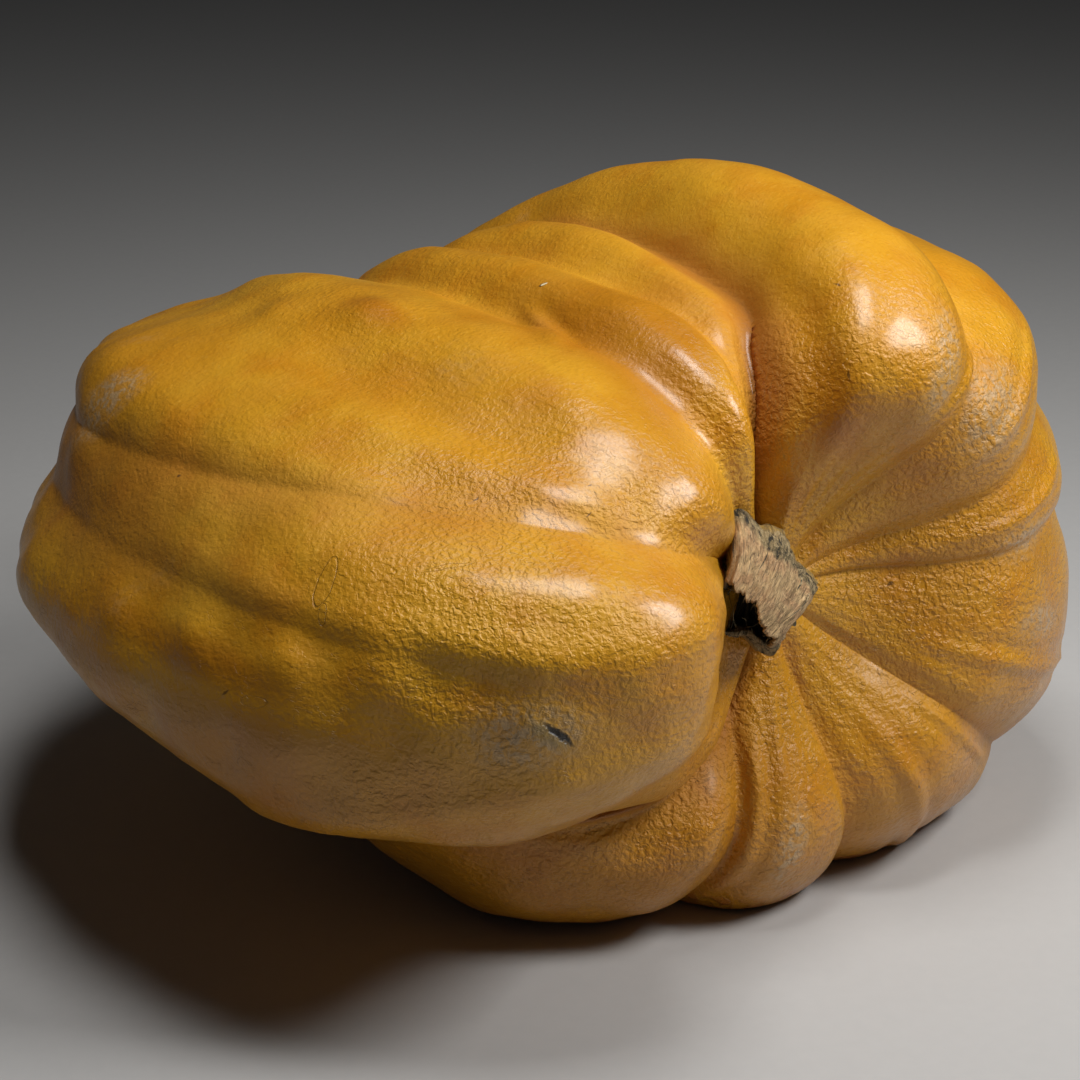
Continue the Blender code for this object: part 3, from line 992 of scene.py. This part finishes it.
def rind_material(shift):
    material, tree, shader = new_material("pumpkin_rind")
    place = object_place(tree)
    grain = attribute(tree, "grain", "Vector")
    loose = wobbled(tree, place, 90.0, 0.010)
    near_ground = steps(tree, height_above_ground(tree, place), 0.034, 0.012)
    chips = steps(tree, noise_texture(tree, place, 55.0, 4.0), 0.50, 0.60)
    chips = maths(tree, "MULTIPLY", near_ground, chips)
    colour = rind_colour(tree, place, grain, shift)
    colour = painted(tree, colour, (haze_mask(tree, place, loose, shift), SKIN["haze"]))
    colour, scars = scarred(tree, colour, place, loose, shift)
    colour = painted(tree, colour, (chips, SKIN["chip"]))
    tree.links.new(colour, shader.inputs["Base Color"])
    waxy = steps(tree, noise_texture(tree, place, 24.0, 4.0), 0.3, 0.7, 0.33, 0.45)
    dull = steps(tree, attribute(tree, "crease"), 0.1, 0.6, 0.0, 0.3)
    tree.links.new(maths(tree, "ADD", waxy, dull), shader.inputs["Roughness"])
    shader.inputs["Coat Weight"].default_value = 0.42
    shader.inputs["Coat Roughness"].default_value = 0.22
    shader.inputs["Specular IOR Level"].default_value = 0.42
    skin_bumps(tree, shader, place, grain, scars, chips)
    return material


def stem_material():
    """Grey-olive bark with its cracks painted near black as shade, a pale bare shell with long fibres,
    and the hollow painted near black as shade.
    """
    material, tree, shader = new_material("dry_stem")
    place = object_place(tree)
    grain = attribute(tree, "grain", "Vector")
    fibres = noise_texture(tree, stretched(tree, grain, (26.0, 26.0, 5.5)), 1.0, 5.0, 0.66, 1.1)
    fine_fibres = noise_texture(tree, stretched(tree, grain, (95.0, 95.0, 11.0)), 1.0, 3.0)
    clumps = noise_texture(tree, place, 60.0, 4.0)
    cracks = noise_texture(tree, stretched(tree, grain, (13.0, 13.0, 8.0)), 1.0, 6.0, 0.7, 1.2)
    mottle = noise_texture(tree, place, 330.0, 3.0, 0.7)
    bark = painted(
        tree,
        mix_colour(tree, steps(tree, clumps, 0.35, 0.65), DRY["dark_bark"], DRY["light_bark"]),
        (steps(tree, mottle, 0.40, 0.72), DRY["mottle"]),
        # painted shade in the cracks, where the bark's bumps are lowest
        (steps(tree, cracks, 0.50, 0.40), DRY["crack"]),
    )
    wood = painted(
        tree,
        mix_colour(tree, steps(tree, clumps, 0.40, 0.62), DRY["pale_wood"], DRY["wood"]),
        (steps(tree, fibres, 0.50, 0.34), DRY["dark_fibre"]),
        (steps(tree, fine_fibres, 0.45, 0.8, 0.0, 0.6), DRY["light_fibre"]),
    )
    corky = mix_colour(tree, steps(tree, mottle, 0.35, 0.65), DRY["light_cork"], DRY["dark_cork"])
    # painted shade inside the hollow: near black, with lighter fibre streaks
    hollow_shade = mix_colour(tree, steps(tree, fibres, 0.46, 0.70), DRY["hollow"], DRY["hollow_fibre"])
    colour = painted(
        tree,
        bark,
        (attribute(tree, "bare_wood"), wood),
        (attribute(tree, "foot"), corky),
        (attribute(tree, "hollow"), hollow_shade),
    )
    tree.links.new(colour, shader.inputs["Base Color"])
    shader.inputs["Roughness"].default_value = 0.85
    bumped(
        tree,
        shader,
        (fibres, 0.0032),
        (steps(tree, cracks, 0.36, 0.52), 0.0012),
        (fine_fibres, 0.0007),
        (mottle, 0.0006),
    )
    return material


def fibre_material():
    material, tree, shader = new_material("stem_fibres")
    place = object_place(tree)
    tone = steps(tree, noise_texture(tree, place, 90.0, 3.0), 0.42, 0.62)
    colour = mix_colour(tree, tone, DRY["dark_strand"], DRY["light_strand"])
    tree.links.new(colour, shader.inputs["Base Color"])
    shader.inputs["Roughness"].default_value = 0.85
    bumped(tree, shader, (noise_texture(tree, place, 500.0), 0.0004))
    return material


def floor_material():
    material, tree, shader = new_material("pale_floor")
    grain = noise_texture(tree, object_place(tree), 60.0, 3.0)
    tree.links.new(mix_colour(tree, grain, FLOOR_COLOUR, FLOOR_DARKER), shader.inputs["Base Color"])
    shader.inputs["Roughness"].default_value = 0.9
    return material


# ------------------------------------------------------------------ studio and camera


def direction(azimuth, elevation):
    """The unit vector from a target towards a place at this azimuth and elevation."""
    a = math.radians(azimuth)
    e = math.radians(elevation)
    return Vector((math.sin(a) * math.cos(e), -math.cos(a) * math.cos(e), math.sin(e)))


def aim(obj, target, azimuth, elevation, distance):
    back = direction(azimuth, elevation)
    obj.location = Vector(target) + back * distance
    obj.rotation_euler = back.to_track_quat("Z", "Y").to_euler()


def add_camera():
    data = bpy.data.cameras.new("camera")
    data.angle = math.radians(CAMERA_FIELD)
    data.clip_end = 50.0
    camera = bpy.data.objects.new("camera", data)
    bpy.context.scene.collection.objects.link(camera)
    aim(camera, CAMERA_TARGET, CAMERA_AZIMUTH, CAMERA_ELEVATION, CAMERA_DISTANCE)
    bpy.context.scene.camera = camera


def add_softbox(name, azimuth, elevation, distance, power):
    data = bpy.data.lights.new(name, "AREA")
    data.shape = "SQUARE"
    data.size = SOFTBOX_SIDE
    data.energy = power
    light = bpy.data.objects.new(name, data)
    bpy.context.scene.collection.objects.link(light)
    aim(light, CAMERA_TARGET, azimuth, elevation, distance)


def add_floor():
    bpy.ops.mesh.primitive_plane_add(size=FLOOR_SIDE, location=(0.0, 0.0, -FLOOR_DROP))
    floor = bpy.context.object
    floor.name = "floor"
    floor.data.materials.append(floor_material())


def add_world():
    world = bpy.data.worlds.new("studio")
    bpy.context.scene.world = world
    world.use_nodes = True
    background = world.node_tree.nodes["Background"]
    background.inputs["Color"].default_value = WORLD_COLOUR
    background.inputs["Strength"].default_value = WORLD_STRENGTH


def main():
    add_camera()
    add_world()
    add_floor()
    for name, settings in SOFTBOXES.items():
        add_softbox(name, *settings)
    bpy.context.scene.view_settings.view_transform = "Standard"
    shift = make_body()
    make_stem(stem_material(), shift)
    strands = fibre_material()
    make_fibres(strands, shift)
    make_bark_curl(strands, shift)


main()
